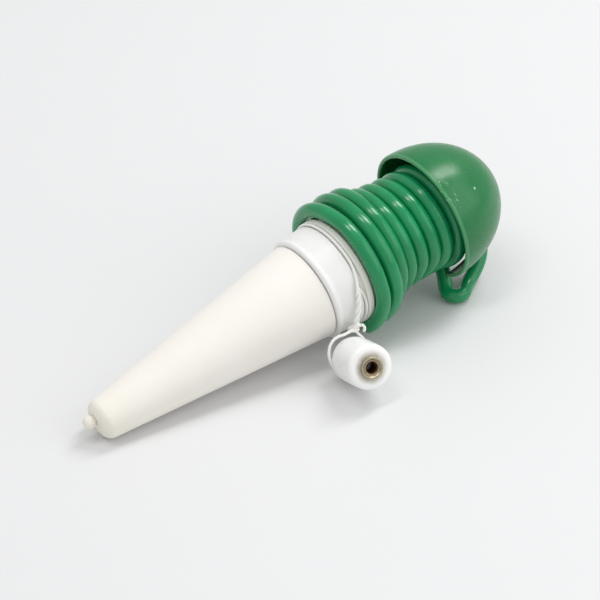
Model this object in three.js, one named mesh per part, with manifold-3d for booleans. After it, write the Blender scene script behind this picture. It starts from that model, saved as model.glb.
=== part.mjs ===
// Ceramic plant watering spike, lying on its side with its hose wound round the neck.
// Millimetres, +Z up. The spike's own axis is the local Z of the group "spike".
import * as THREE from 'three';
import { mergeVertices } from 'three/addons/utils/BufferGeometryUtils.js';
import Module from 'manifold-3d';

const wasm = await Module();
wasm.setup();

// Driving dimensions, measured along the spike's axis from its tip.
const GAP = 0.3;
const ROUND_STEPS = 48;
const SMALL_STEPS = 32;

const CONE = { end: 4, fillet: 3.4, tip: 6.9, mouth: 16.6, mouthAt: 85.6, wall: 3.2 };
const NUB = { radius: 2.2, at: 2.3, off: 1.5, towards: 60 };
const LIP = { radius: 17.9, roll: 1.15, at: 87.1 };
const COLLAR = { waist: 17.4, top: 18.2, end: 96.1, plugDepth: 13, bore: 4.2 };
const SEAL = { tube: 0.9, at: 79.8 };
const SPOOL = { flange: 18.8, from: 97.6, to: 99.8, seat: 17.2, barrel: 12.3, head: 16.6, stem: 3.8, duct: 1.5 };
const HOSE = { radius: 2.5, pitch: 5.06, firstTurn: 102.05, turns: [20.55, 20.5, 18.3, 16.5, 15.9, 15.7, 15.7] };
const HEAD = { from: 140.6, to: 142.5 };
const CAP = { rim: 23.2, height: 28, at: 135.7, wall: 1.4, slotWidth: 9.2, slotEnd: 158.2, rib: 1.2, ribFrom: 9.5 };
const ELBOW = { base: 4.2, post: 2.7, arm: 1.9, armAt: 154.6, reach: 6.6, duct: 1 };
const STRING = { radius: 0.5 };
const BARREL = { radius: 7.5, length: 16, fillet: 1.6, bore: 4.9, mouth: 2.7, lip: 2.2 };
const FERRULE = { flange: 3.6, thick: 0.9, body: 2.35, bore: 1.75, length: 5 };

// Directions round the axis, in radians from the horizontal side, towards the top.
const HOSE_EXIT = THREE.MathUtils.degToRad(254);
const LAST_LAP_END = THREE.MathUtils.degToRad(-89.5);
const LAST_LAP_TURN = THREE.MathUtils.degToRad(317);

// The spike lies on the round edge of its tip and on the first turn of the hose.
const tipAt = CONE.end + CONE.fillet;
const run = HOSE.firstTurn - tipAt;
const rise = HOSE.turns[0] - (CONE.tip - CONE.fillet);
const TILT = Math.atan2(rise, run) - Math.asin((CONE.fillet - HOSE.radius) / Math.hypot(rise, run));
const TIP_HEIGHT = CONE.fillet + (CONE.tip - CONE.fillet) * Math.cos(TILT) - tipAt * Math.sin(TILT);

// The hose after its last lap: out under the cap's rim, round on the floor, back in through the slot.
// Each point is [along the axis, sideways, up] in the spike's own directions.
const HOSE_ROUTE = [
  [137.8, -3.6, -17.2], [136.8, -6.5, -20.5], [135.3, -9.6, -23.4], [134.0, -12.2, -25.1],
  [133.6, -14.8, -25.7], [135.7, -15.6, -26.1], [138.8, -14.2, -26.6], [142.5, -12.2, -26.8],
  [146.5, -10.7, -25.8], [150.0, -9.2, -24.2], [153.0, -7.2, -21.6], [154.5, -5.1, -17.0],
];
const STRING_ROUTE = [[94.6, -17.9, 7.5], [92.9, -19.5, 1.4], [90.5, -20.0, -4.2]];
const KNOT = [89.6, -20.0, -5.7];
const WEIGHT = { at: [84.2, -24.5, -12.3], heading: -104.7, rise: 27.3 };

function material(color, roughness, metalness = 0) {
  return new THREE.MeshStandardMaterial({ color, roughness, metalness });
}

const CERAMIC = () => material(0xefeae0, 0.85);
const WHITE_PLASTIC = () => material(0xeceff0, 0.35);
const CREAM_PLASTIC = () => material(0xebe6da, 0.45);
const GREEN_VINYL = () => material(0x1f9457, 0.2);
const GREEN_CAP = () => material(0x3c9a58, 0.25);
const BLACK_RUBBER = () => material(0x26272a, 0.8);
const COTTON = () => material(0xeeebe0, 0.9);
const BRASS = () => material(0xb08a55, 0.35, 1);
const STEEL = () => material(0x8d8f92, 0.4, 1);

function part(name, geometry, look) {
  const mesh = new THREE.Mesh(geometry, look);
  mesh.name = name;
  return mesh;
}

function arc(cx, cy, radius, fromDeg, toDeg, steps = 8) {
  return Array.from({ length: steps + 1 }, (_, i) => {
    const angle = THREE.MathUtils.degToRad(fromDeg + ((toDeg - fromDeg) * i) / steps);
    return [cx + radius * Math.cos(angle), cy + radius * Math.sin(angle)];
  });
}

// A solid of revolution about Z from an outline of [radius, height] points.
function turned(outline, steps = ROUND_STEPS) {
  const points = outline.map(([radius, height]) => new THREE.Vector2(Math.max(radius, 0), height));
  return new THREE.LatheGeometry(points, steps).rotateX(Math.PI / 2);
}

// A ring of revolution: the outline closes on itself.
function ring(outline, steps = ROUND_STEPS) {
  return turned([...outline, outline[0]], steps);
}

// LatheGeometry leaves a seam and, on some outlines, inward faces: both are mended by the solid.
function toSolid(geometry) {
  const bare = geometry.clone();
  bare.deleteAttribute('normal');
  bare.deleteAttribute('uv');
  const merged = mergeVertices(bare, 1e-5);
  const faces = Array.from(merged.index.array);
  const vertices = merged.attributes.position.array;
  const triangles = [];
  for (let i = 0; i < faces.length; i += 3) {
    const [a, b, c] = faces.slice(i, i + 3);
    if (a !== b && b !== c && c !== a) triangles.push(a, b, c);
  }
  if (signedVolume(vertices, triangles) < 0) triangles.reverse();
  return new wasm.Manifold(new wasm.Mesh({
    numProp: 3,
    vertProperties: new Float32Array(vertices),
    triVerts: new Uint32Array(triangles),
  }));
}

function signedVolume(vertices, triangles) {
  const corner = (i) => new THREE.Vector3().fromArray(vertices, triangles[i] * 3);
  let sum = 0;
  for (let i = 0; i < triangles.length; i += 3) {
    sum += corner(i).dot(corner(i + 1).cross(corner(i + 2)));
  }
  return sum / 6;
}

function toGeometry(solid) {
  const mesh = solid.getMesh();
  const geometry = new THREE.BufferGeometry();
  geometry.setAttribute('position', new THREE.BufferAttribute(new Float32Array(mesh.vertProperties), 3));
  geometry.setIndex(new THREE.BufferAttribute(new Uint32Array(mesh.triVerts), 1));
  geometry.computeVertexNormals();
  return geometry;
}

const clean = (geometry) => toGeometry(toSolid(geometry));

// Local position of a point given as [along the axis, sideways, up].
function onSpike([along, side, up]) {
  return new THREE.Vector3(-up, side, along);
}

function roundDirection(angle) {
  return new THREE.Vector3(-Math.sin(angle), Math.cos(angle), 0);
}

function sweep(points, radius, sides, steps) {
  const outline = new THREE.Shape();
  for (let i = 0; i < sides; i += 1) {
    const angle = (2 * Math.PI * (i + 0.5)) / sides;
    const method = i === 0 ? 'moveTo' : 'lineTo';
    outline[method](radius * Math.cos(angle), radius * Math.sin(angle));
  }
  outline.closePath();
  const extrudePath = new THREE.CatmullRomCurve3(points);
  return clean(new THREE.ExtrudeGeometry(outline, { steps, bevelEnabled: false, extrudePath }));
}

function coneRadius(along) {
  const slope = (CONE.mouth - CONE.tip) / (CONE.mouthAt - tipAt);
  return CONE.tip + slope * (along - tipAt);
}

// Porous cone: a blunt end with a small nub beside its middle, straight sides, open mouth.
function ceramicCone() {
  const { mouthAt, wall, tip, end, fillet, mouth } = CONE;
  const innerTip = tip - wall;
  const outer = [
    [0, end],
    ...arc(tip - fillet, tipAt, fillet, -90, -5, 8),
    [mouth, mouthAt - 0.6],
    [mouth - 0.6, mouthAt],
  ];
  const inner = [
    [coneRadius(mouthAt) - wall, mouthAt],
    ...arc(0, end + wall + innerTip, innerTip, 0, -90, 5),
  ];
  const towards = roundDirection(THREE.MathUtils.degToRad(NUB.towards)).multiplyScalar(NUB.off);
  const nub = new THREE.SphereGeometry(NUB.radius, 20, 12).translate(towards.x, towards.y, NUB.at);
  return toGeometry(toSolid(turned([...outer, ...inner])).add(toSolid(nub)));
}

// Collar: a rolled lip over the cone's shoulder and a tapered plug in its mouth.
function neckCollar() {
  const { waist, top, end, plugDepth, bore } = COLLAR;
  const plugTop = CONE.mouthAt;
  const plugEnd = plugTop - plugDepth;
  const plugRadius = (along) => coneRadius(along) - CONE.wall - GAP;
  const groove = SEAL.tube + 0.2;
  const rollCentre = LIP.radius - LIP.roll;
  const outline = [
    [bore, plugEnd],
    [plugRadius(plugEnd) - 0.8, plugEnd],
    [plugRadius(plugEnd + 0.8), plugEnd + 0.8],
    [plugRadius(SEAL.at - groove), SEAL.at - groove],
    [plugRadius(SEAL.at) - 2 * groove, SEAL.at - groove],
    [plugRadius(SEAL.at) - 2 * groove, SEAL.at + groove],
    [plugRadius(SEAL.at + groove), SEAL.at + groove],
    [plugRadius(plugTop), plugTop + GAP],
    ...arc(rollCentre, LIP.at, LIP.roll, -90, 60, 10),
    [waist, LIP.at + 1.6],
    [(waist + top) / 2 + 0.2, LIP.at + 5],
    [top, end - 0.4],
    [top - 0.4, end],
    [bore, end],
  ];
  return clean(ring(outline));
}

function collarSeal() {
  const centre = coneRadius(SEAL.at) - CONE.wall - GAP - SEAL.tube;
  return clean(ring(arc(centre, SEAL.at, SEAL.tube, 0, 330, 11)));
}

// The first two turns lie on the spool's seat, the others on its narrower barrel.
const SEAT_END = HOSE.firstTurn + 2 * HOSE.pitch - HOSE.radius - 0.4;
const SEAT_SLOPE = 1.6;

// Spool: a cream flange behind the string, a stepped seat for the hose, a head for the cap.
function hoseSpool() {
  const { flange, from, to, seat, barrel, head, stem, duct } = SPOOL;
  const stemEnd = CONE.mouthAt - COLLAR.plugDepth - 4;
  const outline = [
    [duct, stemEnd],
    [stem, stemEnd],
    [stem, COLLAR.end + GAP],
    [flange - 1.4, COLLAR.end + GAP],
    [flange - 1.4, from],
    [flange - 0.3, from],
    [flange, from + 0.3],
    ...arc(flange - 1, to - 1, 1, 0, 90, 4),
    [seat, to + 0.4],
    [seat, SEAT_END],
    [barrel, SEAT_END + SEAT_SLOPE],
    [barrel, HEAD.from - 1],
    [barrel + 1, HEAD.from],
    [head - 0.6, HEAD.from],
    [head, HEAD.from + 0.6],
    [head - 0.5, HEAD.to],
    [duct, HEAD.to],
  ];
  return clean(ring(outline));
}

function elbowWasher() {
  const from = HEAD.to + GAP;
  return clean(ring([[2, from], [ELBOW.base, from], [ELBOW.base, from + 0.8], [2, from + 0.8]], SMALL_STEPS));
}

// Elbow: a post on the head and a barbed arm that points at the cap's slot.
function hoseElbow() {
  const { base, post, arm, armAt, reach, duct } = ELBOW;
  const foot = HEAD.to + 2 * GAP + 0.8;
  const postSolid = toSolid(turned([
    [0, foot],
    [base, foot],
    [base, foot + 1],
    [post, foot + 1.4],
    ...arc(0, armAt, post, 0, 90, 6),
  ], SMALL_STEPS));
  const barbs = [0, 1, 2].flatMap((i) => {
    const start = 2.4 + i * 1.3;
    return [[arm - 0.35, start], [arm, start + 0.1], [arm - 0.35, start + 1.2]];
  });
  const toSlot = new THREE.Quaternion().setFromUnitVectors(
    new THREE.Vector3(0, 0, 1),
    roundDirection(HOSE_EXIT),
  );
  const place = new THREE.Matrix4().makeRotationFromQuaternion(toSlot).setPosition(0, 0, armAt);
  const lie = (geometry) => toSolid(geometry.applyMatrix4(place));
  const armSolid = lie(turned([[0, 0], [arm - 0.35, 0], ...barbs, [arm - 0.5, reach], [0, reach]], SMALL_STEPS));
  const ductUp = toSolid(turned([[0, foot - 1], [duct, foot - 1], [duct, armAt], [0, armAt + duct]], SMALL_STEPS));
  const ductOut = lie(turned([[0, 0], [duct, 0], [duct, reach + 1], [0, reach + 1]], SMALL_STEPS));
  return toGeometry(postSolid.add(armSolid).subtract(ductUp).subtract(ductOut));
}

// Cap: a thin dome, open at the rim, with a slot for the hose and ribs that stand on the head.
function domeCap() {
  const { rim, height, at, wall, slotWidth, slotEnd, rib, ribFrom } = CAP;
  const dome = (thin, fromDeg, toDeg) => arc(0, 0, 1, fromDeg, toDeg, 16)
    .map(([x, y]) => [x * (rim - thin), at + y * (height - thin)]);
  const shell = toSolid(turned([
    [rim - wall + 0.3, at - 0.3],
    [rim - 0.3, at - 0.3],
    ...dome(0, 0, 90),
    ...dome(wall, 90, 0),
    [rim - wall + 0.3, at - 0.3],
  ]));
  const slotFrom = at - 2;
  const cutter = new THREE.BoxGeometry(slotWidth, rim, slotEnd - slotFrom)
    .translate(0, rim / 2 + 4, (slotEnd + slotFrom) / 2)
    .rotateZ(HOSE_EXIT);
  const inside = toSolid(turned([[0, at], ...dome(wall / 2, 0, 90)]));
  const ribs = [60, 180, 300].map((turn) => {
    const depth = rim - ribFrom;
    const plate = new THREE.BoxGeometry(rib, depth, height)
      .translate(0, ribFrom + depth / 2, HEAD.to + GAP + height / 2)
      .rotateZ(HOSE_EXIT + THREE.MathUtils.degToRad(turn));
    return toSolid(plate).intersect(inside);
  });
  return toGeometry(ribs.reduce((cap, plate) => cap.add(plate), shell.subtract(toSolid(cutter))));
}

// Outer shape of the wound turns: a scalloped ring round the spool.
function hoseCoil() {
  const { radius, pitch, firstTurn, turns } = HOSE;
  const outer = turns.flatMap((turn, i) => arc(turn, firstTurn + i * pitch, radius, -70, 70, 6));
  const last = firstTurn + (turns.length - 1) * pitch;
  const inner = [
    [SPOOL.barrel + GAP, last + radius - 0.2],
    [SPOOL.barrel + GAP, SEAT_END + SEAT_SLOPE + 0.35],
    [SPOOL.seat + GAP, SEAT_END + 0.35],
    [SPOOL.seat + GAP, SPOOL.to + 0.4 + GAP],
    [SPOOL.flange, SPOOL.to + GAP],
  ];
  return clean(ring([...outer, ...inner]));
}

// The last lap beside the coil, then the loose loop to the elbow's arm.
function hoseLoop() {
  const lapRadius = HOSE.turns.at(-1);
  const lapAt = HOSE.firstTurn + HOSE.turns.length * HOSE.pitch + GAP;
  const lapSteps = 18;
  const lap = Array.from({ length: lapSteps + 1 }, (_, i) => {
    const angle = LAST_LAP_END + LAST_LAP_TURN * (1 - i / lapSteps);
    return roundDirection(angle).multiplyScalar(lapRadius).setZ(lapAt);
  });
  const armEnd = ELBOW.reach + GAP;
  const mouth = [armEnd + 5, armEnd].map((radius) => (
    roundDirection(HOSE_EXIT).multiplyScalar(radius).setZ(ELBOW.armAt)
  ));
  return sweep([...lap, ...HOSE_ROUTE.map(onSpike), ...mouth], HOSE.radius, 10, 46);
}

function stringWrap() {
  const at = (COLLAR.end + SPOOL.from) / 2 + 0.1;
  const centre = SPOOL.flange - 1.4 + GAP + STRING.radius + 0.35;
  return clean(ring(arc(centre, at, STRING.radius, 0, 315, 7)));
}

function stringDrop() {
  return sweep(STRING_ROUTE.map(onSpike), STRING.radius * 1.5, 8, 8);
}

function stringKnot() {
  return clean(new THREE.IcosahedronGeometry(1.5, 2).translate(...onSpike(KNOT).toArray()));
}

// The sling round the weight is a ring in the weight's own directions.
function stringSling() {
  const centre = BARREL.radius + GAP + STRING.radius;
  return clean(ring(arc(centre, 1, STRING.radius, 0, 315, 7), SMALL_STEPS));
}

function weightBarrel() {
  const { radius, length, fillet, bore, mouth, lip } = BARREL;
  const outline = [
    [mouth, 0],
    ...arc(radius - fillet, fillet, fillet, -90, 0, 5),
    ...arc(radius - fillet, length - fillet, fillet, 0, 90, 5),
    [mouth, length],
    [mouth, length - lip],
    [bore, length - lip],
    [bore, lip],
    [mouth, lip],
  ];
  return clean(ring(outline, SMALL_STEPS));
}

function weightCore() {
  const from = BARREL.lip + GAP;
  const to = BARREL.length - BARREL.lip - GAP;
  const inner = FERRULE.body + GAP;
  const outer = BARREL.bore - GAP;
  return clean(ring([[inner, from], [outer, from], [outer, to], [inner, to]], SMALL_STEPS));
}

// Flanged bush; its flange stands on the barrel's face and faces up the local Z.
function ferrule() {
  const { flange, thick, body, bore, length } = FERRULE;
  return ring([
    [bore, -length],
    [body, -length],
    [body, GAP],
    [flange, GAP],
    ...arc(flange - 0.3, GAP + thick - 0.3, 0.3, 0, 90, 3),
    [bore + 0.2, GAP + thick],
    [bore, GAP + thick - 0.3],
  ], SMALL_STEPS);
}

const spike = new THREE.Group();
spike.rotation.y = Math.PI / 2 - TILT;
spike.position.z = TIP_HEIGHT;
spike.add(
  part('ceramic_cone', ceramicCone(), CERAMIC()),
  part('neck_collar', neckCollar(), WHITE_PLASTIC()),
  part('collar_seal', collarSeal(), BLACK_RUBBER()),
  part('hose_spool', hoseSpool(), CREAM_PLASTIC()),
  part('elbow_washer', elbowWasher(), BLACK_RUBBER()),
  part('hose_elbow', hoseElbow(), WHITE_PLASTIC()),
  part('dome_cap', domeCap(), GREEN_CAP()),
  part('hose_coil', hoseCoil(), GREEN_VINYL()),
  part('hose_loop', hoseLoop(), GREEN_VINYL()),
  part('string_wrap', stringWrap(), COTTON()),
  part('string_drop', stringDrop(), COTTON()),
  part('string_knot', stringKnot(), COTTON()),
);

const weight = new THREE.Group();
spike.updateMatrixWorld(true);
weight.position.copy(onSpike(WEIGHT.at)).applyMatrix4(spike.matrixWorld);
weight.rotation.order = 'ZYX';
weight.rotation.y = Math.PI / 2 - THREE.MathUtils.degToRad(WEIGHT.rise);
weight.rotation.z = THREE.MathUtils.degToRad(WEIGHT.heading);
weight.add(
  part('weight_barrel', weightBarrel(), WHITE_PLASTIC()),
  part('weight_core', weightCore(), STEEL()),
  part('ferrule_front', clean(ferrule().translate(0, 0, BARREL.length)), BRASS()),
  part('ferrule_rear', clean(ferrule().rotateX(Math.PI)), BRASS()),
  part('string_sling', stringSling(), COTTON()),
);

// The origin is under the middle of the object without its hose and string.
const watering_spike = new THREE.Group();
watering_spike.add(spike, weight);
const loose = ['hose_coil', 'hose_loop', 'string_wrap', 'string_drop', 'string_knot', 'string_sling'];
const box = new THREE.Box3();
watering_spike.updateMatrixWorld(true);
watering_spike.traverse((node) => {
  if (node.isMesh && !loose.includes(node.name)) box.expandByObject(node, true);
});
const middle = box.getCenter(new THREE.Vector3());
watering_spike.position.set(-middle.x, -middle.y, -box.min.z);

export default watering_spike;
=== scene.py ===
import math

import bmesh
import bpy
from mathutils import Matrix, Vector
from mathutils.geometry import interpolate_bezier


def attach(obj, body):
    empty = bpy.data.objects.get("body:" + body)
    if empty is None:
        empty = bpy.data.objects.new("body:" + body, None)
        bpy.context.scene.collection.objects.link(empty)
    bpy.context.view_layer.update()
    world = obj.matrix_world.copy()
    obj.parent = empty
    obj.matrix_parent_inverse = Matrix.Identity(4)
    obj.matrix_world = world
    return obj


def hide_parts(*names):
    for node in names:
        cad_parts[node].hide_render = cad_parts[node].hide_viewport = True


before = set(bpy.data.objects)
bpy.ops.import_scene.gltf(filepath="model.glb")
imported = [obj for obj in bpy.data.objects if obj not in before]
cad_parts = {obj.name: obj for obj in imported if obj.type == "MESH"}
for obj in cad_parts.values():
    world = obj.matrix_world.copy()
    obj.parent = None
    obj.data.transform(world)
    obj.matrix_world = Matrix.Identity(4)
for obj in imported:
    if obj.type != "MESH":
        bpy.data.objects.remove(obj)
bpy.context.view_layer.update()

# The spike's own directions: x sideways, y up from its axis, z along its axis from the tip.
MM = 0.001
TILT = math.radians(9.6754)
TIP = Vector((-0.0807464, 0.0091387, 0.0055952))
SIDE = Vector((0, 1, 0))
UP = Vector((-math.sin(TILT), 0, math.cos(TILT)))
ALONG = Vector((math.cos(TILT), 0, math.sin(TILT)))

# Driving dimensions in millimetres, the same as the CAD's.
TIP_END, TIP_FILLET, TIP_RADIUS, MOUTH, MOUTH_AT, WALL = 4.0, 3.4, 6.9, 16.6, 85.6, 3.2
NUB_RADIUS, NUB_AT, NUB_OFF, NUB_TOWARDS = 2.2, 2.3, 1.5, math.radians(60)
HOSE_RADIUS, PITCH, FIRST_TURN = 2.5, 5.06, 102.05
CAP_RIM, CAP_HEIGHT, CAP_AT, CAP_WALL = 23.2, 28.0, 135.7, 1.4
HEAD_FROM, HEAD_TO, ARM_AT, ARM_REACH = 140.6, 142.5, 154.6, 6.6
HOSE_EXIT = math.radians(254)
STRING = 0.5
BARREL_RADIUS, BARREL_LENGTH = 7.5, 16.0
# Route points, [along, sideways, up] in metres in the spike's own directions.
HOSE_ROUTE = [
    [0.1378, -0.0036, -0.0172], [0.1367, -0.0064, -0.0205], [0.1350, -0.0093, -0.0234],
    [0.1333, -0.0116, -0.0252], [0.1331, -0.0139, -0.0256], [0.1347, -0.0157, -0.0259],
    [0.1371, -0.0159, -0.02635], [0.1393, -0.0142, -0.0267], [0.1425, -0.0122, -0.0268],
    [0.1465, -0.0107, -0.0258], [0.1500, -0.0092, -0.0242], [0.1530, -0.0072, -0.0216],
    [0.1545, -0.0051, -0.0170],
]
STRING_ROUTE = [[0.0946, -0.0179, 0.0075], [0.0929, -0.0195, 0.0014], [0.0905, -0.0200, -0.0042]]
KNOT = [0.0896, -0.0200, -0.0057]
WEIGHT_AT = [0.0842, -0.0245, -0.0123]
WEIGHT_HEADING, WEIGHT_RISE = math.radians(-104.7), math.radians(27.3)


def placed(origin, x, y, z):
    matrix = Matrix((x, y, z)).transposed().to_4x4()
    matrix.translation = origin
    return matrix


SPIKE = placed(TIP, SIDE, UP, ALONG)


def spot(along, side, up):
    """A point given in the spike's own directions, in metres, in the row frame."""
    return SPIKE @ Vector((side, up, along))


def around(angle, radius, along):
    """The same for a point given by its angle from the side towards the top, in mm."""
    return spot(along * MM, radius * MM * math.cos(angle), radius * MM * math.sin(angle))


level = Vector((math.cos(WEIGHT_HEADING), math.sin(WEIGHT_HEADING), 0))
weight_z = level * math.cos(WEIGHT_RISE) + Vector((0, 0, math.sin(WEIGHT_RISE)))
weight_x = Vector((0, 0, 1)).cross(level)
WEIGHT = placed(spot(*WEIGHT_AT), weight_x, weight_z.cross(weight_x), weight_z)

# ---------------------------------------------------------------- camera and light
camera = bpy.data.objects.new("camera", bpy.data.cameras.new("camera"))
bpy.context.scene.collection.objects.link(camera)
camera.data.lens = 120
camera.data.sensor_width = 36
camera.data.clip_start, camera.data.clip_end = 0.01, 20
camera.location = (-0.3057, -0.3959, 0.4162)
look_at = Vector((0.0033, 0.0109, 0.0155))
camera.rotation_mode = "QUATERNION"
camera.rotation_quaternion = (look_at - camera.location).to_track_quat("-Z", "Y")
bpy.context.scene.camera = camera
bpy.context.scene.view_settings.view_transform = "Standard"


def softbox(name, direction, distance, size, power, color=(1, 1, 1)):
    data = bpy.data.lights.new(name, "AREA")
    data.shape = "RECTANGLE"
    data.size, data.size_y = size
    data.energy = power
    data.color = color
    light = bpy.data.objects.new(name, data)
    bpy.context.scene.collection.objects.link(light)
    light.location = Vector(direction).normalized() * distance
    light.rotation_mode = "QUATERNION"
    light.rotation_quaternion = Vector(direction).to_track_quat("Z", "Y")


softbox("key_light", (0.50, 0.06, 0.86), 1.2, (0.25, 0.70), 5.3)
softbox("second_light", (-0.28, 0.04, 0.94), 1.2, (0.19, 0.60), 2.4)
softbox("front_light", (0.50, -0.70, 0.60), 1.0, (1.0, 0.8), 2.4)

world = bpy.data.worlds.new("studio")
bpy.context.scene.world = world
world.use_nodes = True
world.node_tree.nodes["Background"].inputs["Color"].default_value = (0.985, 0.99, 1.0, 1)
world.node_tree.nodes["Background"].inputs["Strength"].default_value = 0.65


# ---------------------------------------------------------------- materials
class Look:
    """A material, with short calls for its nodes."""

    def __init__(self, name, frame_of=None, **sockets):
        self.material = bpy.data.materials.new(name)
        self.material.use_nodes = True
        self.tree = self.material.node_tree
        self.shader = self.tree.nodes["Principled BSDF"]
        for socket, value in sockets.items():
            self.shader.inputs[socket.replace("_", " ")].default_value = value
        coordinates = self.tree.nodes.new("ShaderNodeTexCoord")
        self.place = coordinates.outputs["Object"]
        if frame_of:
            inverse = self.node("Mapping", {"Vector": self.place, "Location": frame_of.to_translation(),
                                            "Rotation": frame_of.to_euler()}, vector_type="TEXTURE")
            self.place = inverse.outputs["Vector"]
        self.uv = coordinates.outputs["UV"]
        self.normal = None

    def node(self, kind, inputs=None, **settings):
        made = self.tree.nodes.new("ShaderNode" + kind)
        for key, value in settings.items():
            setattr(made, key, value)
        for key, value in (inputs or {}).items():
            if isinstance(value, bpy.types.NodeSocket):
                self.tree.links.new(value, made.inputs[key])
            else:
                made.inputs[key].default_value = value
        return made

    def stretched(self, scale, source=None):
        mapping = self.node("Mapping", {"Vector": source or self.place})
        mapping.inputs["Scale"].default_value = scale
        return mapping.outputs["Vector"]

    def noise(self, scale, detail=3, roughness=0.55, vector=None, distortion=0.0):
        made = self.node("TexNoise", {"Vector": vector or self.place, "Scale": scale, "Detail": detail,
                                      "Roughness": roughness, "Distortion": distortion})
        return made.outputs["Fac"]

    def cells(self, scale, vector=None, feature="F1"):
        made = self.node("TexVoronoi", {"Vector": vector or self.place, "Scale": scale}, feature=feature)
        return made.outputs["Distance"]

    def range(self, value, low, high, to_low=0.0, to_high=1.0):
        made = self.node("MapRange", {"Value": value, "From Min": low, "From Max": high,
                                      "To Min": to_low, "To Max": to_high})
        return made.outputs["Result"]

    def math(self, operation, a, b):
        return self.node("Math", {0: a, 1: b}, operation=operation).outputs[0]

    def mix(self, share, a, b):
        made = self.node("Mix", data_type="RGBA")
        for socket, value in ((0, share), (6, a), (7, b)):
            if isinstance(value, bpy.types.NodeSocket):
                self.tree.links.new(value, made.inputs[socket])
            else:
                made.inputs[socket].default_value = value if socket == 0 else (*value, 1)
        return made.outputs[2]

    def bump(self, height, depth_mm, strength=1.0):
        inputs = {"Height": height, "Distance": depth_mm * MM, "Strength": strength}
        if self.normal:
            inputs["Normal"] = self.normal
        self.normal = self.node("Bump", inputs).outputs["Normal"]
        self.set("Normal", self.normal)

    def set(self, socket, value):
        self.tree.links.new(value, self.shader.inputs[socket])

    def distance_from_axis(self):
        flat = self.node("VectorMath", {0: self.place, 1: (1, 1, 0)}, operation="MULTIPLY").outputs[0]
        return self.node("VectorMath", {0: flat}, operation="LENGTH").outputs["Value"]

    def height(self):
        return self.node("SeparateXYZ", {0: self.place}).outputs["Z"]


def ceramic():
    look = Look("porous_ceramic", SPIKE, Roughness=0.8, Specular_IOR_Level=0.35, Subsurface_Weight=0.15,
                Subsurface_Radius=(0.0015, 0.0013, 0.001), Subsurface_Scale=1.0)
    clouds = look.noise(45, 4)
    near_tip = look.range(look.height(), 0.0, 0.03)
    warm = look.mix(near_tip, (0.84, 0.80, 0.70), (0.86, 0.825, 0.765))
    base = look.mix(look.range(clouds, 0.3, 0.7), warm, (0.88, 0.855, 0.80))
    grains = look.noise(2600, 2)
    base = look.mix(look.range(grains, 0.62, 0.78, 0, 0.35), base, (0.70, 0.66, 0.59))
    look.set("Base Color", base)
    look.set("Roughness", look.range(look.noise(300, 3), 0.3, 0.7, 0.7, 0.92))
    look.bump(look.noise(160, 4), 0.08, 0.5)
    look.bump(look.noise(1900, 4, 0.7), 0.03, 0.6)
    look.bump(look.cells(2100), 0.02, 0.35)
    return look.material


def moulded(name, base, shade, roughness, subsurface, marks=0.5):
    """Smooth moulded plastic: faint colour drift, handling marks in the gloss, fine orange peel."""
    look = Look(name, SPIKE, Roughness=roughness, Subsurface_Weight=subsurface, Specular_IOR_Level=0.5,
                Subsurface_Radius=(0.003, 0.003, 0.0028), Subsurface_Scale=1.0)
    look.set("Base Color", look.mix(look.range(look.noise(60, 4), 0.35, 0.68), base, shade))
    smudges = look.noise(220, 5, 0.65, distortion=0.6)
    look.set("Roughness", look.range(smudges, 0.3, 0.75, roughness * 0.85, roughness * (1.15 + marks)))
    look.bump(look.noise(700, 3), 0.012, 0.35)
    look.bump(look.noise(90, 2), 0.05, 0.2)
    return look.material


def milky_plastic():
    look = Look("milky_plastic", WEIGHT, Roughness=0.32, Subsurface_Weight=0.5, Specular_IOR_Level=0.5,
                Subsurface_Radius=(0.004, 0.004, 0.0035), Subsurface_Scale=1.0)
    milk = look.mix(look.range(look.noise(120, 4), 0.35, 0.65), (0.93, 0.93, 0.91), (0.90, 0.90, 0.875))
    from_axis = look.distance_from_axis()
    near_face = look.math("MAXIMUM", look.range(look.height(), 0.0139, 0.0159),
                          look.range(look.height(), 0.0021, 0.0001))
    metal = look.math("MULTIPLY", look.range(from_axis, 0.0056, 0.0042), near_face)
    patchy = look.math("MULTIPLY", metal, look.range(look.noise(260, 2), 0.3, 0.6, 0.45, 0.9))
    look.set("Base Color", look.mix(patchy, milk, (0.50, 0.47, 0.38)))
    look.set("Roughness", look.range(look.noise(500, 4), 0.3, 0.7, 0.26, 0.42))
    look.bump(look.noise(900, 3), 0.012, 0.35)
    return look.material


def vinyl():
    """Soft green hose: colour drift, extrusion lines along it, smears in the gloss."""
    look = Look("green_vinyl", Roughness=0.16, Subsurface_Weight=0.12, Specular_IOR_Level=0.42,
                Subsurface_Radius=(0.0006, 0.0025, 0.0012), Subsurface_Scale=1.0, Coat_Weight=0.16,
                Coat_Roughness=0.08)
    drift = look.range(look.noise(70, 4), 0.3, 0.7)
    look.set("Base Color", look.mix(drift, (0.004, 0.225, 0.074), (0.007, 0.280, 0.100)))
    lines = look.noise(1.0, 3, vector=look.stretched((26, 5, 1), look.uv))
    smears = look.noise(420, 4, 0.6)
    look.set("Roughness", look.range(smears, 0.35, 0.75, 0.13, 0.27))
    look.bump(lines, 0.02, 0.25)
    look.bump(look.noise(1200, 3), 0.006, 0.3)
    return look.material


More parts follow.
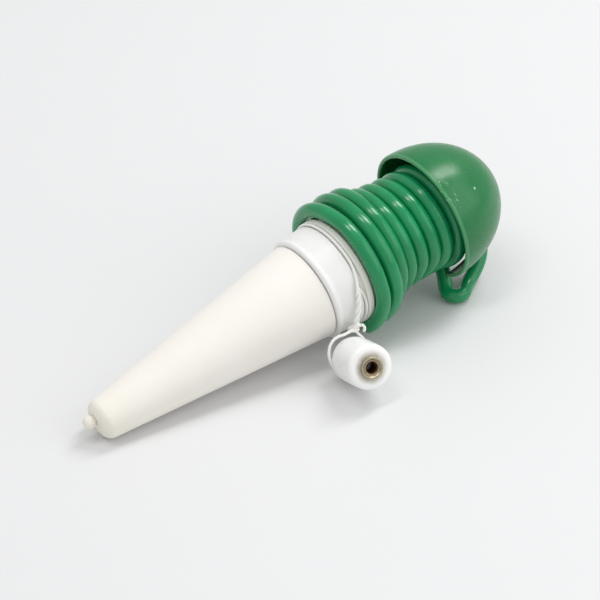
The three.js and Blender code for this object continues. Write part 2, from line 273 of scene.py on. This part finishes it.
def cap_plastic():
    """Glossy green dome: fine hair scratches, a patch of white nicks by the rim, a painted highlight dot, and a
    painted highlight along the rim lip.
    """
    look = Look("green_cap_plastic", SPIKE, Roughness=0.26, Subsurface_Weight=0.08, Specular_IOR_Level=0.5,
                Subsurface_Radius=(0.001, 0.003, 0.0015), Subsurface_Scale=1.0)
    drift = look.range(look.noise(40, 3), 0.3, 0.7)
    base = look.mix(drift, (0.005, 0.160, 0.040), (0.010, 0.185, 0.052))
    # Painted highlight: the rim lip is coloured a lighter green than the rest of the dome.
    rim = look.range(look.height(), 0.1364, 0.1357)
    base = look.mix(look.math("MULTIPLY", rim, 0.6), base, (0.10, 0.36, 0.16))
    hairs = [look.noise(1.0, 2, vector=look.stretched(stretch))
             for stretch in ((150, 2600, 900), (2200, 170, 1300), (900, 1500, 120))]
    scratches = look.range(hairs[0], 0.70, 0.74)
    for hair in hairs[1:]:
        scratches = look.math("MAXIMUM", scratches, look.range(hair, 0.70, 0.74))
    nicks_place = look.node("VectorMath", {0: look.place, 1: NICKS_AT}, operation="DISTANCE").outputs["Value"]
    near_rim = look.math("MULTIPLY", look.range(look.height(), 0.1394, 0.1382),
                         look.range(nicks_place, 0.0075, 0.004))
    # Painted highlight: a small white dot on the dome where a glint of light sits, mixed in with the nicks.
    glint_distance = look.node("VectorMath", {0: look.place, 1: GLINT_AT}, operation="DISTANCE").outputs["Value"]
    streaks = look.range(look.noise(1.0, 2, vector=look.stretched((800, 800, 2600)), distortion=0.8),
                         0.63, 0.67)
    nicks_and_glint = look.math("MAXIMUM", look.math("MULTIPLY", streaks, near_rim),
                      look.range(glint_distance, 0.00050, 0.00035))
    base = look.mix(look.math("MULTIPLY", scratches, 0.16), base, (0.20, 0.45, 0.25))
    look.set("Base Color", look.mix(look.math("MULTIPLY", nicks_and_glint, 0.6), base, (0.65, 0.85, 0.68)))
    look.set("Roughness", look.range(look.noise(260, 5, 0.6), 0.3, 0.75, 0.23, 0.36))
    look.bump(look.math("MULTIPLY", scratches, -1.0), 0.01, 0.3)
    look.bump(nicks_and_glint, 0.03, 0.6)
    look.bump(look.noise(600, 3), 0.008, 0.35)
    return look.material


def cotton():
    look = Look("cotton_string", Roughness=0.9, Specular_IOR_Level=0.2, Sheen_Weight=0.35,
                Subsurface_Weight=0.1, Subsurface_Radius=(0.0006, 0.0006, 0.0005), Subsurface_Scale=1.0)
    fibre = look.noise(1.0, 4, 0.7, vector=look.stretched((12, 600, 1), look.uv))
    look.set("Base Color", look.mix(look.range(fibre, 0.3, 0.7), (0.88, 0.87, 0.82), (0.95, 0.945, 0.92)))
    look.bump(fibre, 0.03, 0.8)
    look.bump(look.noise(5200, 3, 0.7), 0.02, 0.6)
    return look.material


def metal(name, bright, dull, roughness):
    look = Look(name, WEIGHT, Metallic=1.0, Roughness=roughness)
    tarnish = look.range(look.noise(900, 5, 0.65), 0.35, 0.7)
    look.set("Base Color", look.mix(tarnish, bright, dull))
    turning = look.noise(1.0, 3, vector=look.stretched((300, 300, 9000)))
    look.set("Roughness", look.range(turning, 0.3, 0.7, roughness * 0.75, roughness * 1.5))
    look.bump(turning, 0.008, 0.5)
    return look.material


def rubber():
    look = Look("black_rubber", SPIKE, Roughness=0.7, Specular_IOR_Level=0.3)
    look.set("Base Color", look.mix(look.noise(300, 4), (0.02, 0.02, 0.022), (0.05, 0.05, 0.052)))
    look.set("Roughness", look.range(look.noise(1500, 3), 0.3, 0.7, 0.6, 0.85))
    look.bump(look.noise(2500, 3), 0.015, 0.5)
    return look.material


def table_top():
    look = Look("pale_table", Roughness=0.55, Specular_IOR_Level=0.3)
    look.set("Base Color", look.mix(look.noise(6, 4), (0.725, 0.728, 0.731), (0.745, 0.746, 0.749)))
    look.set("Roughness", look.range(look.noise(160, 4), 0.3, 0.7, 0.5, 0.62))
    look.bump(look.noise(400, 3), 0.02, 0.2)
    return look.material


NICKS_AT = (-0.0140, 0.0180, 0.1380)
# Where the painted highlight dot sits on the dome.
GLINT_AT = (-0.0155, 0.0148, 0.1466)
CERAMIC = ceramic()
WHITE = moulded("white_plastic", (0.825, 0.82, 0.80), (0.845, 0.84, 0.82), 0.28, 0.3)
CREAM = moulded("cream_plastic", (0.80, 0.79, 0.73), (0.83, 0.82, 0.765), 0.38, 0.25)
MILKY = milky_plastic()
VINYL = vinyl()
CAP = cap_plastic()
COTTON = cotton()
BRASS = metal("worn_brass", (0.54, 0.49, 0.36), (0.34, 0.29, 0.19), 0.34)
# Brass darkened by painted shade, for the bore and inner chamfer of each bush.
SHADED_BRASS = metal("brass_with_painted_shade", (0.20, 0.11, 0.055), (0.08, 0.04, 0.02), 0.5)
STEEL = metal("plain_steel", (0.50, 0.50, 0.50), (0.38, 0.38, 0.38), 0.35)
RUBBER = rubber()


# ---------------------------------------------------------------- shapes
def finished(name, bm, place, materials, body, slot, *nodes, sharp=50):
    """An object made in its place, riding on its body and standing for its CAD nodes."""
    bm.transform(place)
    bmesh.ops.remove_doubles(bm, verts=bm.verts, dist=1e-7)
    bmesh.ops.recalc_face_normals(bm, faces=bm.faces)
    mesh = bpy.data.meshes.new(name)
    bm.to_mesh(mesh)
    bm.free()
    for polygon in mesh.polygons:
        polygon.use_smooth = True
    mesh.set_sharp_from_angle(angle=math.radians(sharp))
    for material in materials:
        mesh.materials.append(material)
    piece = bpy.data.objects.new(name, mesh)
    bpy.context.scene.collection.objects.link(piece)
    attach(piece, body)
    if nodes:
        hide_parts(*nodes)
    return piece


def rounded(points, radius, closed=False, steps=4):
    """The outline with its corners rounded and a support point beside each."""
    outline = []
    for i, point in enumerate(points):
        corner = Vector(point)
        back = Vector(points[i - 1]) - corner
        ahead = Vector(points[(i + 1) % len(points)]) - corner
        is_end = not closed and i in (0, len(points) - 1)
        if is_end or back.angle(ahead) > math.radians(160):
            outline.append(corner)
            continue
        reach = min(radius / math.tan(back.angle(ahead) / 2), 0.35 * back.length, 0.35 * ahead.length)
        start, end = corner + back.normalized() * reach, corner + ahead.normalized() * reach
        outline.append(corner + back.normalized() * reach * 1.3)
        for k in range(steps + 1):
            t = k / steps
            outline.append(start.lerp(corner, t).lerp(corner.lerp(end, t), t))
        outline.append(corner + ahead.normalized() * reach * 1.3)
    return outline


def arc(across, along, radius, start, end, steps=8):
    angles = [math.radians(start + (end - start) * i / steps) for i in range(steps + 1)]
    return [(across + radius * math.cos(a), along + radius * math.sin(a)) for a in angles]


def lathe(outline, closed=False, steps=128, wobble=0.0, second=None):
    """A turned shape from points of [radius, along] in mm. second picks faces for the second material."""
    bm = bmesh.new()
    rings = []
    for radius, along in outline:
        count = 1 if radius < 1e-6 else steps
        ring = []
        for k in range(count):
            angle = 2 * math.pi * k / steps
            r = radius * (1 + wobble * math.sin(3 * angle + along * 0.11) * math.cos(2 * angle - along * 0.07))
            ring.append(bm.verts.new((r * MM * math.cos(angle), r * MM * math.sin(angle), along * MM)))
        rings.append(ring)
    pairs = list(zip(rings, rings[1:])) + ([(rings[-1], rings[0])] if closed else [])
    for a, b in pairs:
        for k in range(steps):
            corners = [a[k % len(a)], a[(k + 1) % len(a)], b[(k + 1) % len(b)], b[k % len(b)]]
            unique = list(dict.fromkeys(corners))
            if len(unique) > 2:
                face = bm.faces.new(unique)
                centre = face.calc_center_median()
                if second and second(math.hypot(centre.x, centre.y) / MM, centre.z / MM):
                    face.material_index = 1
    return bm


def smooth_path(knots, per=8):
    """A smooth line through the knots."""
    points = [Vector(k) for k in knots]
    line = [points[0]]
    for i in range(len(points) - 1):
        before, a, b, after = (points[max(i - 1, 0)], points[i], points[i + 1],
                               points[min(i + 2, len(points) - 1)])
        third = (b - a).length / 3
        line += interpolate_bezier(a, a + (b - before).normalized() * third,
                                   b - (after - a).normalized() * third, b, per + 1)[1:]
    return line


def directions(line):
    """At each point of the line, two directions across it that don't spin."""
    across = None
    made = []
    for i in range(len(line)):
        ahead = (line[min(i + 1, len(line) - 1)] - line[max(i - 1, 0)]).normalized()
        if across is None:
            across = ahead.orthogonal().normalized()
        across = (across - ahead * across.dot(ahead)).normalized()
        made.append((across, ahead.cross(across)))
    return made


def add_tube(bm, line, radius, sides=16, bore=0.0, start_cap=True):
    """A tube along the line, in metres. With a bore, its ends are open for a few millimetres."""
    uv = bm.loops.layers.uv.verify()
    turns = directions(line)
    lengths = [0.0]
    for a, b in zip(line, line[1:]):
        lengths.append(lengths[-1] + (b - a).length)

    def ring(i, r, shift=0.0):
        u, v = turns[i]
        ahead = (line[min(i + 1, len(line) - 1)] - line[max(i - 1, 0)]).normalized()
        middle = line[i] + ahead * shift
        return [bm.verts.new(middle + (u * math.cos(a) + v * math.sin(a)) * r)
                for a in (2 * math.pi * k / sides for k in range(sides))]

    def join(a, b, from_v, to_v):
        for k in range(sides):
            face = bm.faces.new((a[k], a[(k + 1) % sides], b[(k + 1) % sides], b[k]))
            for loop, (x, y) in zip(face.loops, ((k, from_v), (k + 1, from_v), (k + 1, to_v), (k, to_v))):
                loop[uv].uv = (x / sides, y)

    rings = [ring(i, radius) for i in range(len(line))]
    for i in range(len(line) - 1):
        join(rings[i], rings[i + 1], lengths[i], lengths[i + 1])
    for end, inward in ((0, 1), (len(line) - 1, -1)):
        if bore:
            lip = ring(end, radius * 0.97, -inward * radius * 0.05)
            mouth = ring(end, bore * 1.04, -inward * radius * 0.05)
            throat = ring(end, bore, inward * radius * 0.05)
            deep = ring(end + inward * 4, bore)
            for a, b in ((rings[end], lip), (lip, mouth), (mouth, throat), (throat, deep)):
                join(a, b, lengths[end], lengths[end])
            bm.faces.new(deep)
        else:
            tip = ring(end, radius * 0.6, -inward * radius * 0.35)
            join(rings[end], tip, lengths[end], lengths[end])
            bm.faces.new(tip)


def plies(line, radius, count=3, pitch=2.4 * MM, phase=0.0):
    """The lines of the plies that make a string of that radius along the line."""
    turns = directions(line)
    done = 0.0
    made = [[] for _ in range(count)]
    for i, point in enumerate(line):
        if i:
            done += (point - line[i - 1]).length
        u, v = turns[i]
        for k in range(count):
            a = 2 * math.pi * (done / pitch + k / count) + phase
            made[k].append(point + (u * math.cos(a) + v * math.sin(a)) * radius * 0.5)
    return made


def string(bm, line, radius=STRING * MM):
    for ply in plies(line, radius):
        add_tube(bm, ply, radius * 0.55, sides=7)


def length_of(line):
    return sum((b - a).length for a, b in zip(line, line[1:]))


def evenly(line, step):
    """The same line with its points about that far apart."""
    total = length_of(line)
    count = max(2, round(total / step))
    made = [line[0]]
    done, k = 0.0, 0
    for i in range(1, count):
        target = total * i / count
        while done + (line[k + 1] - line[k]).length < target:
            done += (line[k + 1] - line[k]).length
            k += 1
        made.append(line[k].lerp(line[k + 1], (target - done) / (line[k + 1] - line[k]).length))
    return made + [line[-1]]


def carved(piece, bm, operation):
    """Cuts the shape out of the piece, or joins it on."""
    bmesh.ops.recalc_face_normals(bm, faces=bm.faces)
    tool_mesh = bpy.data.meshes.new("tool")
    bm.to_mesh(tool_mesh)
    bm.free()
    tool = bpy.data.objects.new("tool", tool_mesh)
    bpy.context.scene.collection.objects.link(tool)
    modifier = piece.modifiers.new("carve", "BOOLEAN")
    modifier.operation = operation
    modifier.solver = "EXACT"
    modifier.object = tool
    bpy.context.view_layer.update()
    result = bpy.data.meshes.new_from_object(piece.evaluated_get(bpy.context.evaluated_depsgraph_get()))
    piece.modifiers.clear()
    piece.data = result
    bpy.data.objects.remove(tool)
    for polygon in result.polygons:
        polygon.use_smooth = True
    result.set_sharp_from_angle(angle=math.radians(40))


# ---------------------------------------------------------------- the hose
# Where on a lap the hose steps down to the next one, and over how many degrees.
FIRST_CROSSING, CROSSING = (205, 52), (178, 84)
# The first lap stands off the spool around its crossing: by how much, at what angle, how widely.
HUMP, HUMP_AT, HUMP_WIDTH = 1.2, 222, 25
# The last lap slips towards the cone on the far side: by how much, and at what angles.
SLIP, SLIP_FROM, SLIP_AT, SLIP_TO = 1.5, 2430, 2525, 2620
COIL_FROM, COIL_STEP, COIL_POINTS = -89.5, 6, 474
HOSE_STEP = 1.25 * MM


def crossed(angle):
    """How many steps down the coil the hose has made at that angle, in degrees."""
    steps = 0.0
    for turn in range(8):
        start, sweep = FIRST_CROSSING if turn == 0 else CROSSING
        t = min(max((angle - start - 360 * turn) / sweep, 0), 1)
        steps += t * t * (3 - 2 * t)
    return steps


# For each lap, from the cap to the cone: its place along the axis, its radius, and how far it
# stands off centre, sideways and up, because the last laps are wound loosely. Then the free end.
LAPS = [(FIRST_TURN + 7 * PITCH + 0.3, 15.7, 0.0, 0.0), (132.45, 15.7, 0.0, 0.0), (127.4, 15.7, 0.2, 0.2),
        (122.3, 15.9, 0.6, 0.6), (117.25, 16.5, 0.9, 0.9), (112.6, 18.3, 1.6, 1.55), (107.6, 20.65, 0.5, 0.45),
        (FIRST_TURN, 20.9, 0.4, 0.35), (97.3, 21.4, 0.2, 0.2)]


def wound(angle):
    """The hose's centreline on the spool, counted from where it leaves for the loop."""
    step = crossed(angle)
    k = min(int(step), 7)
    along, radius, aside, above = (a + (b - a) * (step - k) for a, b in zip(LAPS[k], LAPS[k + 1]))
    turn = math.radians(angle)
    radius += HUMP * math.exp(-((angle - HUMP_AT) / HUMP_WIDTH) ** 2)
    if SLIP_FROM < angle < SLIP_TO:
        along -= SLIP * max(0.0, math.cos((turn - math.radians(SLIP_AT)) * 0.9))
    return spot(along * MM, (radius * math.cos(turn) + aside) * MM, (radius * math.sin(turn) + above) * MM)


def hose_line():
    mouth = [around(HOSE_EXIT, radius, ARM_AT) for radius in (3.6, 6.9, 11.9)]
    loop = [spot(*point) for point in reversed(HOSE_ROUTE)]
    coil = [wound(COIL_FROM + COIL_STEP * i) for i in range(COIL_POINTS)]
    line = evenly(smooth_path(mouth + loop + coil, per=4), HOSE_STEP)
    bends = range(4, 60)
    for _ in range(2):
        eased = {i: (line[i - 1] + line[i] * 2 + line[i + 1]) / 4 for i in bends}
        for i, point in eased.items():
            line[i] = point
    return evenly(line, HOSE_STEP)


hose_path = hose_line()
bm = bmesh.new()
add_tube(bm, hose_path, HOSE_RADIUS * MM, sides=20, bore=1.7 * MM)
hose = finished("hose", bm, Matrix.Identity(4), [VINYL], "neck", "green_vinyl", "hose_coil", "hose_loop")

# ---------------------------------------------------------------- the string
string_route = [spot(*point) for point in STRING_ROUTE]
top = string_route[0]
knot = spot(*KNOT)
top_angle = math.degrees(math.atan2(STRING_ROUTE[0][2], STRING_ROUTE[0][1]))


GROOVE_RADIUS, GROOVE_AT = 18.35, 96.9


def groove(turned_by):
    """A point of the string round the neck: in its groove, and off it beside the hanging strands."""
    off = max(0.0, 1 - turned_by / 27) ** 1.5 + max(0.0, 1 - (360 - turned_by) / 22) ** 1.5
    sunk = 0.4 * min(1.0, max(0.0, (turned_by - 215) / 30))
    return around(math.radians(top_angle - turned_by), GROOVE_RADIUS - sunk + 0.9 * min(off, 1),
                  GROOVE_AT - 2.1 * min(off, 1))


wrap_line = evenly(smooth_path([top] + [groove(a) for a in range(7, 354, 7)] + [top], per=6), 0.3 * MM)
bm = bmesh.new()
string(bm, wrap_line)
wrap = finished("string_round_neck", bm, Matrix.Identity(4), [COTTON], "neck", "cotton", "string_wrap")


def twisted_leg(phase, reverse=False):
    """One of the two strands that twist round each other from the neck to the knot."""
    middle = evenly(smooth_path(string_route + [knot], per=8), 0.4 * MM)
    points = []
    for i, (u, v) in enumerate(directions(middle)):
        t = i / (len(middle) - 1)
        spread = STRING * MM * 0.86 * min(1, 0.2 + 6 * t)
        angle = phase + 2 * math.pi * 2.6 * t ** 0.7
        points.append(middle[i] + (u * math.cos(angle) + v * math.sin(angle)) * spread)
    return points[::-1] if reverse else points


def sling():
    """Round the rear of the weight, a little loose on the side away from the knot."""
    local = WEIGHT.inverted() @ knot
    start = math.atan2(local.y, local.x)
    knots = []
    for degrees in range(28, 340, 12):
        a = start + math.radians(degrees)
        loose = 1.4 * math.exp(-((degrees - 55) / 30) ** 2)
        behind = min(1.0, max(0.0, (degrees - 85) / 40)) * min(1.0, (352 - degrees) / 40)
        r = (BARREL_RADIUS + STRING * 1.1 + loose - 1.7 * behind) * MM
        knots.append(WEIGHT @ Vector((r * math.cos(a), r * math.sin(a), (0.9 - 1.6 * behind) * MM)))
    return knots


tether_line = evenly(
    smooth_path(twisted_leg(0.0) + sling() + twisted_leg(math.pi, reverse=True), per=4), 0.3 * MM)
bm = bmesh.new()
string(bm, tether_line)
tether = finished("string_tether", bm, Matrix.Identity(4), [COTTON], "weight", "cotton",
                  "string_drop", "string_sling")
KNOT_LONG, KNOT_FLAT = Vector((0.62, -0.52, 0.58)).normalized(), Vector((0.52, 0.83, 0.19)).normalized()
bm = bmesh.new()
knot_line = []
for i in range(97):
    t = 2 * math.pi * i / 96
    knot_line.append(knot + (KNOT_LONG * (math.sin(t) + 2 * math.sin(2 * t)) * 0.78
                             + KNOT_FLAT * (math.cos(t) - 2 * math.cos(2 * t)) * 0.36
                             + KNOT_LONG.cross(KNOT_FLAT) * math.sin(3 * t) * 0.55) * MM)
string(bm, knot_line)
tail = smooth_path([knot + Vector((1.2, -0.5, 0.6)) * MM, knot + Vector((2.2, -1.2, 1.2)) * MM,
                    knot + Vector((2.6, -2.0, 0.4)) * MM, knot + Vector((2.2, -2.2, -0.8)) * MM], per=8)
string(bm, tail)
knot_piece = finished("knot", bm, Matrix.Identity(4), [COTTON], "weight", "cotton", "string_knot")


# ---------------------------------------------------------------- the cone and neck
TIP_AT = TIP_END + TIP_FILLET


def cone_radius(along):
    return TIP_RADIUS + (MOUTH - TIP_RADIUS) * (along - TIP_AT) / (MOUTH_AT - TIP_AT)


outside = [(0, TIP_END)] + arc(TIP_RADIUS - TIP_FILLET, TIP_AT, TIP_FILLET, -90, -5, 16)
outside += [(cone_radius(a), a) for a in range(9, 85, 2)]
outside += rounded([(cone_radius(84.4), 84.4), (cone_radius(MOUTH_AT), MOUTH_AT),
                    (cone_radius(MOUTH_AT) - WALL, MOUTH_AT)], 0.6)
inner_tip = TIP_RADIUS - WALL
inside = [(cone_radius(a) - WALL, a) for a in range(84, 13, -4)]
inside += arc(0, TIP_END + WALL + inner_tip, inner_tip, 0, -90, 8)
cone = finished("cone_shell", lathe(outside + inside, wobble=0.002), SPIKE, [CERAMIC], "cone", "ceramic",
                "ceramic_cone")
nub = lathe(arc(0, 0, NUB_RADIUS, -90, 90, 20), steps=40, wobble=0.05)
nub_centre = Vector((NUB_OFF * math.cos(NUB_TOWARDS), NUB_OFF * math.sin(NUB_TOWARDS), NUB_AT)) * MM
nub.transform(SPIKE @ Matrix.Translation(nub_centre))
carved(cone, nub, "UNION")


def plug_radius(along):
    return cone_radius(along) - WALL - 0.3


SEAL_AT = 79.8
plug_end = MOUTH_AT - 13
collar_outline = [(4.2, plug_end), (plug_radius(plug_end) - 0.8, plug_end),
                  (plug_radius(plug_end + 0.8), plug_end + 0.8),
                  (plug_radius(SEAL_AT - 1.1), SEAL_AT - 1.1), (plug_radius(SEAL_AT) - 2.2, SEAL_AT - 1.1),
                  (plug_radius(SEAL_AT) - 2.2, SEAL_AT + 1.1), (plug_radius(SEAL_AT + 1.1), SEAL_AT + 1.1),
                  (plug_radius(MOUTH_AT), MOUTH_AT + 0.3)]
collar_outline += arc(16.75, 87.1, 1.15, -90, 55, 14)
collar_outline += [(17.43, 88.6), (17.5, 89.2), (17.72, 90.4), (18.0, 92.1), (18.1, 93.8)]
collar_outline += rounded([(18.1, 93.8), (18.2, 96.1), (4.2, 96.1)], 0.6)[1:]
finished("collar_shell", lathe(collar_outline, closed=True), SPIKE, [WHITE], "neck", "white_plastic",
         "neck_collar")
seal_outline = arc(cone_radius(SEAL_AT) - WALL - 1.2, SEAL_AT, 0.9, 0, 345, 23)
finished("seal_ring", lathe(seal_outline, closed=True), SPIKE, [RUBBER], "neck", "black_rubber", "collar_seal")
seat_end = FIRST_TURN + 2 * PITCH - HOSE_RADIUS - 0.4
spool_outline = rounded([
    (1.5, 68.6), (3.8, 68.6), (3.8, 96.3), (17.45, 96.3), (17.45, 97.6), (18.8, 97.6), (18.8, 99.8),
    (17.2, 100.2), (17.2, seat_end), (12.3, seat_end + 1.6), (12.3, HEAD_FROM - 1), (13.3, HEAD_FROM),
    (16.6, HEAD_FROM), (16.1, HEAD_TO), (1.5, HEAD_TO)], 0.7, closed=True)
finished("spool_body", lathe(spool_outline, closed=True), SPIKE, [CREAM], "neck", "cream_plastic", "hose_spool")
washer_outline = rounded([(2, 142.8), (4.2, 142.8), (4.2, 143.6), (2, 143.6)], 0.2, True)
finished("washer_ring", lathe(washer_outline, closed=True, steps=64), SPIKE, [RUBBER], "neck", "black_rubber",
         "elbow_washer")

# ---------------------------------------------------------------- the elbow
foot = HEAD_TO + 1.4
bm = lathe(rounded([(1, foot), (4.2, foot), (4.2, foot + 1), (2.7, foot + 1.4)], 0.3)
           + arc(0, ARM_AT, 2.7, 0, 90, 10), steps=64)
barbs = [(1.55, 0)]
for i in range(3):
    start = 2.4 + 1.3 * i
    barbs += [(1.55, start), (1.9, start + 0.1), (1.55, start + 1.2)]
barbs += [(1.4, ARM_REACH), (1.0, ARM_REACH), (1.0, ARM_REACH - 3), (0, ARM_REACH - 3)]
arm = lathe(rounded(barbs, 0.08), steps=48)
outward = Vector((math.cos(HOSE_EXIT), math.sin(HOSE_EXIT), 0))
arm.transform(placed(Vector((0, 0, ARM_AT * MM)), Vector((0, 0, 1)).cross(outward), Vector((0, 0, 1)), outward))
arm_mesh = bpy.data.meshes.new("arm")
arm.to_mesh(arm_mesh)
bm.from_mesh(arm_mesh)
arm.free()
bpy.data.meshes.remove(arm_mesh)
finished("elbow_body", bm, SPIKE, [WHITE], "neck", "white_plastic", "hose_elbow")


# ---------------------------------------------------------------- the cap
def dome(thin, start, end, steps=40):
    return [(x * (CAP_RIM - thin), CAP_AT + y * (CAP_HEIGHT - thin))
            for x, y in arc(0, 0, 1, start, end, steps)]


rim = arc(CAP_RIM - CAP_WALL / 2, CAP_AT, CAP_WALL / 2, -180, 0, 10)
shell = lathe(rim + dome(0, 3, 90) + dome(CAP_WALL, 90, 3), closed=True, steps=160)
cap = finished("cap_shell", shell, SPIKE, [CAP], "cap", "green_cap", "dome_cap")
# One open slot from the rim, wide enough for the hose wherever the cap is on its way off.
SLOT_HALF, SLOT_END = 4.6, 158.2
slot = bmesh.new()
slot_outline = rounded([(SLOT_HALF, CAP_AT - 3), (SLOT_HALF, SLOT_END), (-SLOT_HALF, SLOT_END),
                        (-SLOT_HALF, CAP_AT - 3)], 1.0)
near = [slot.verts.new((x * MM, 10 * MM, z * MM)) for x, z in slot_outline]
far = [slot.verts.new((x * MM, 30 * MM, z * MM)) for x, z in slot_outline]
slot.faces.new(near)
slot.faces.new(far[::-1])
for k in range(len(near)):
    j = (k + 1) % len(near)
    slot.faces.new((near[j], near[k], far[k], far[j]))
slot.transform(SPIKE @ Matrix.Rotation(HOSE_EXIT - math.pi / 2, 4, "Z"))
carved(cap, slot, "DIFFERENCE")

bm = bmesh.new()
for turn in (60, 180, 300):
    reach = CAP_RIM - CAP_WALL
    top_of = CAP_HEIGHT - CAP_WALL
    start = math.asin((HEAD_TO + 0.3 - CAP_AT) / top_of)
    end = math.acos(9.5 / reach)
    curve = [(reach * math.cos(start + (end - start) * k / 14) + 0.2,
              CAP_AT + top_of * math.sin(start + (end - start) * k / 14) + 0.2) for k in range(15)]
    outline = [(9.5, HEAD_TO + 0.3)] + curve
    angle = HOSE_EXIT + math.radians(turn)
    out = Vector((math.cos(angle), math.sin(angle), 0))
    aside = Vector((-math.sin(angle), math.cos(angle), 0))
    faces = [[bm.verts.new((out * r + aside * half + Vector((0, 0, z))) * MM) for r, z in outline]
             for half in (-0.6, 0.6)]
    bm.faces.new(faces[0])
    bm.faces.new(faces[1][::-1])
    for k in range(len(outline)):
        j = (k + 1) % len(outline)
        bm.faces.new((faces[0][j], faces[0][k], faces[1][k], faces[1][j]))
bm.transform(SPIKE)
carved(cap, bm, "UNION")

# ---------------------------------------------------------------- the weight
barrel_outline = rounded([
    (2.7, 0), (7.3, 0), (BARREL_RADIUS, 4), (BARREL_RADIUS, BARREL_LENGTH - 4), (7.3, BARREL_LENGTH),
    (2.7, BARREL_LENGTH), (2.7, BARREL_LENGTH - 2.2), (4.9, BARREL_LENGTH - 2.2), (4.9, 2.2), (2.7, 2.2)],
    1.7, closed=True, steps=8)
finished("weight_body", lathe(barrel_outline, closed=True, steps=96), WEIGHT, [MILKY], "weight",
         "milky_plastic", "weight_barrel")
core_outline = rounded([(2.65, 2.5), (4.6, 2.5), (4.6, 13.5), (2.65, 13.5)], 0.2, True)
finished("weight_tube", lathe(core_outline, closed=True, steps=64), WEIGHT, [STEEL], "weight", "steel",
         "weight_core")
bush_outline = rounded([
    (1.75, -5), (2.35, -5), (2.35, 0.3), (3.6, 0.3), (3.6, 1.2), (3.0, 1.2), (2.6, 0.8), (2.2, 0.75),
    (1.75, 0.45)], 0.24, closed=True)
front = WEIGHT @ Matrix.Translation((0, 0, BARREL_LENGTH * MM))
rear = WEIGHT @ Matrix.Rotation(math.pi, 4, "X")
for name, place, node in (("bush_front", front, "ferrule_front"), ("bush_rear", rear, "ferrule_rear")):
    # The bore and inner chamfer take the brass darkened by painted shade; the rest is plain brass.
    bush = lathe(bush_outline, closed=True, steps=64,
                 second=lambda r, z: r < 2.75 and z < 0.86 and not 2.2 < r < 2.5)
    finished(name, bush, place, [BRASS, SHADED_BRASS], "weight", "brass", node)

# ---------------------------------------------------------------- the table
bm = bmesh.new()
bmesh.ops.create_grid(bm, x_segments=8, y_segments=8, size=3)
floor_mesh = bpy.data.meshes.new("table")
bm.to_mesh(floor_mesh)
bm.free()
floor_mesh.materials.append(table_top())
floor = bpy.data.objects.new("table", floor_mesh)
bpy.context.scene.collection.objects.link(floor)
